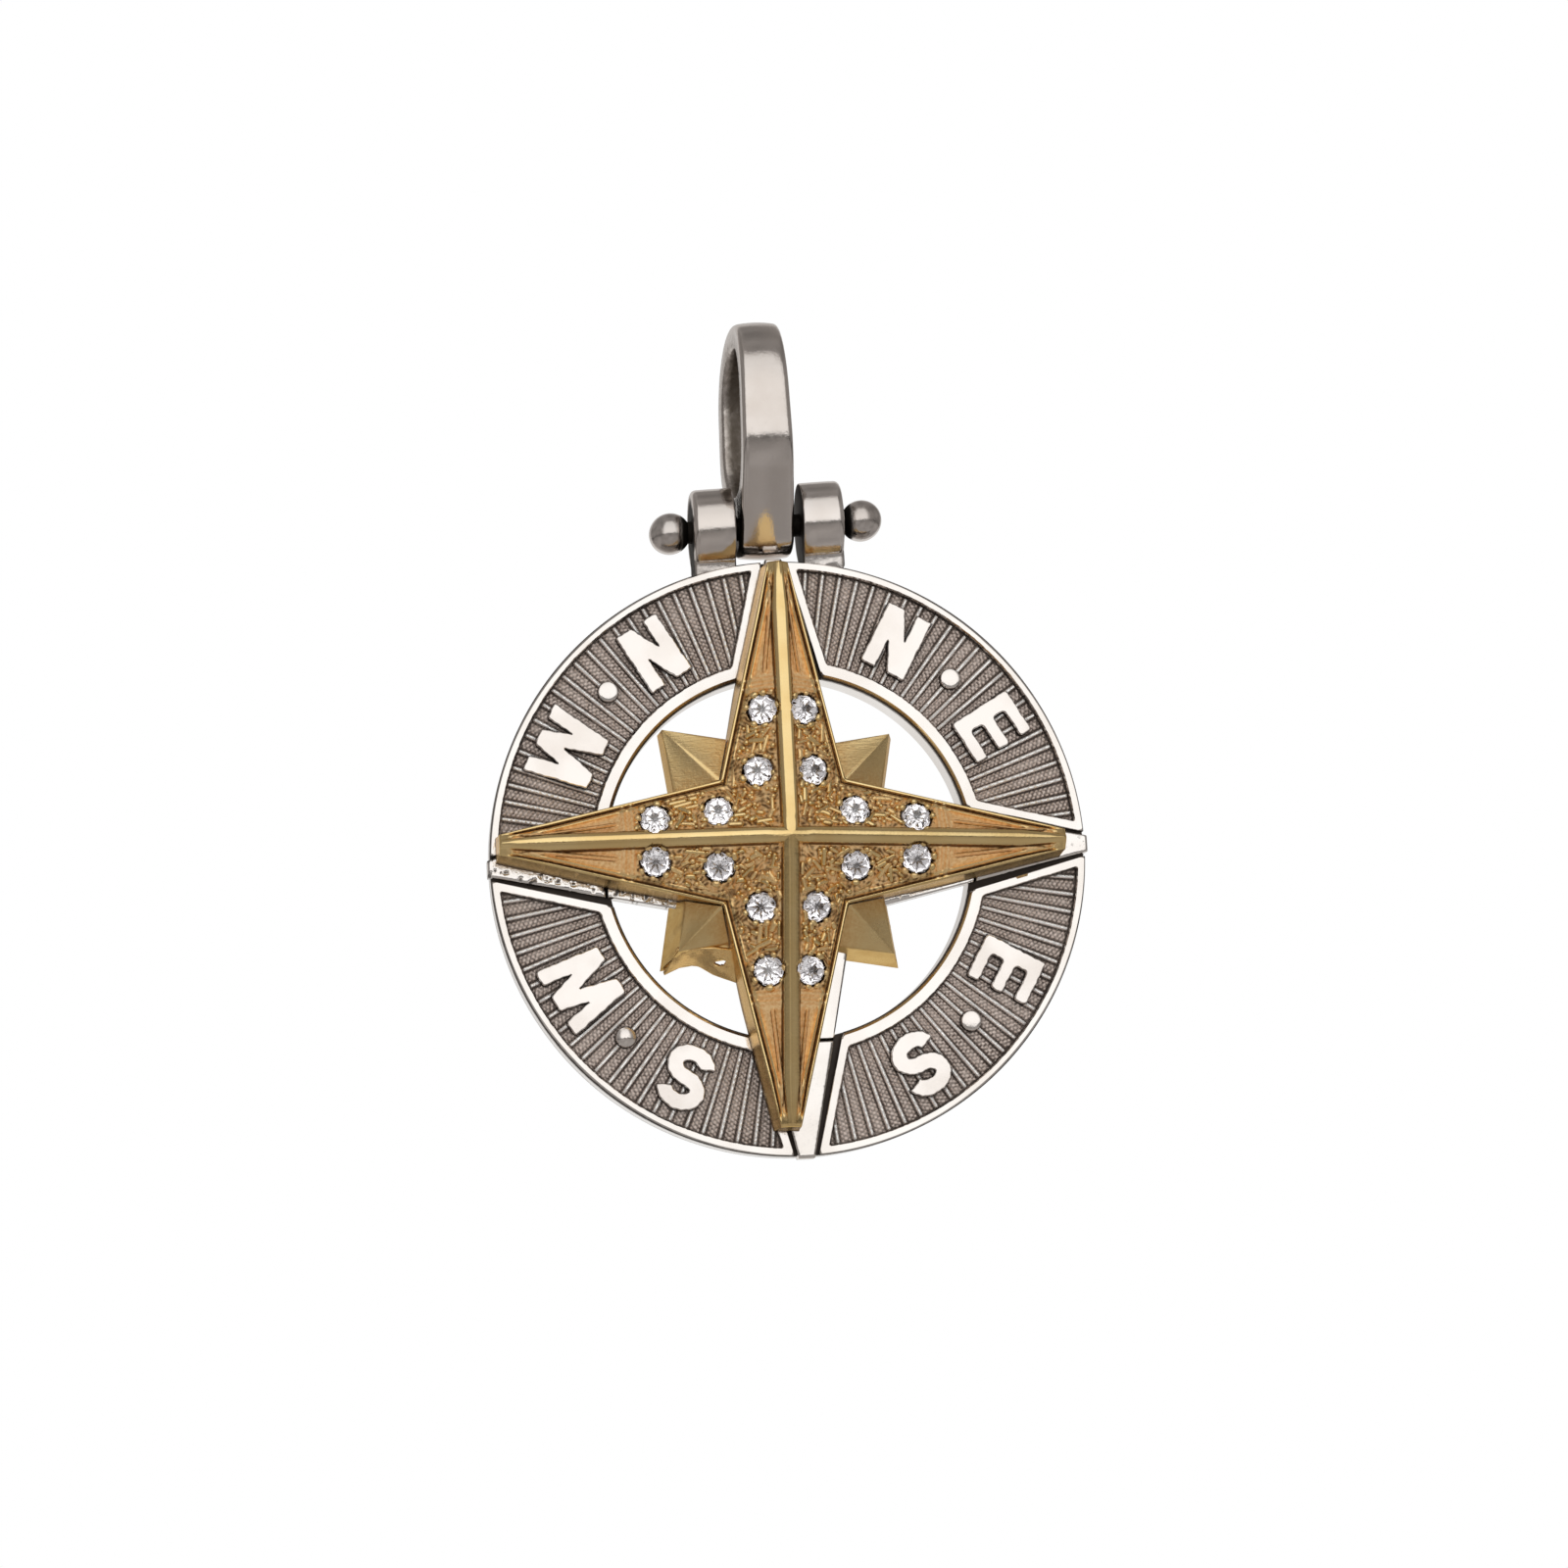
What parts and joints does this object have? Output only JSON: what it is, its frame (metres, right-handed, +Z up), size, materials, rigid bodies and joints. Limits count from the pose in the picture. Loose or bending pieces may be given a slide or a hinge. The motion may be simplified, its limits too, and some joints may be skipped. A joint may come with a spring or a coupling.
{
  "type": "compass pendant",
  "caption": "Compass pendant: a lettered ring with raised stone-set star in front of it, hung by two lugs and a pin from a tapered bail.",
  "frame": {"origin": "the chain seat: middle of the inner top of the bail's loop", "axes": "+Z up, away from the pendant; X along the hinge pin; the compass faces -Y"},
  "size_m": [0.0252, 0.0093, 0.0355],
  "materials": {
    "white_metal": "polished, oxidised in the recesses",
    "yellow_gold": "polished",
    "stone": "polished, faceted"
  },
  "bodies": {
    "bail": {"bail": "white_metal"},
    "pendant": {"ring": "white_metal", "hinge_pin": "white_metal", "star_long": "yellow_gold", "short_point_ne": "yellow_gold", "short_point_nw": "yellow_gold", "short_point_sw": "yellow_gold", "short_point_se": "yellow_gold", "stone_e_1": "stone", "stone_e_2": "stone", "stone_e_3": "stone", "stone_e_4": "stone", "stone_n_1": "stone", "stone_n_2": "stone", "stone_n_3": "stone", "stone_n_4": "stone", "stone_w_1": "stone", "stone_w_2": "stone", "stone_w_3": "stone", "stone_w_4": "stone", "stone_s_1": "stone", "stone_s_2": "stone", "stone_s_3": "stone", "stone_s_4": "stone"}
  },
  "joints": [
    {"name": "bail_hinge", "type": "hinge", "parent": "bail", "child": "pendant", "pos_m": [0, 0, -0.0077], "axis": [1, 0, 0], "range_deg": [-55, 55]}
  ]
}
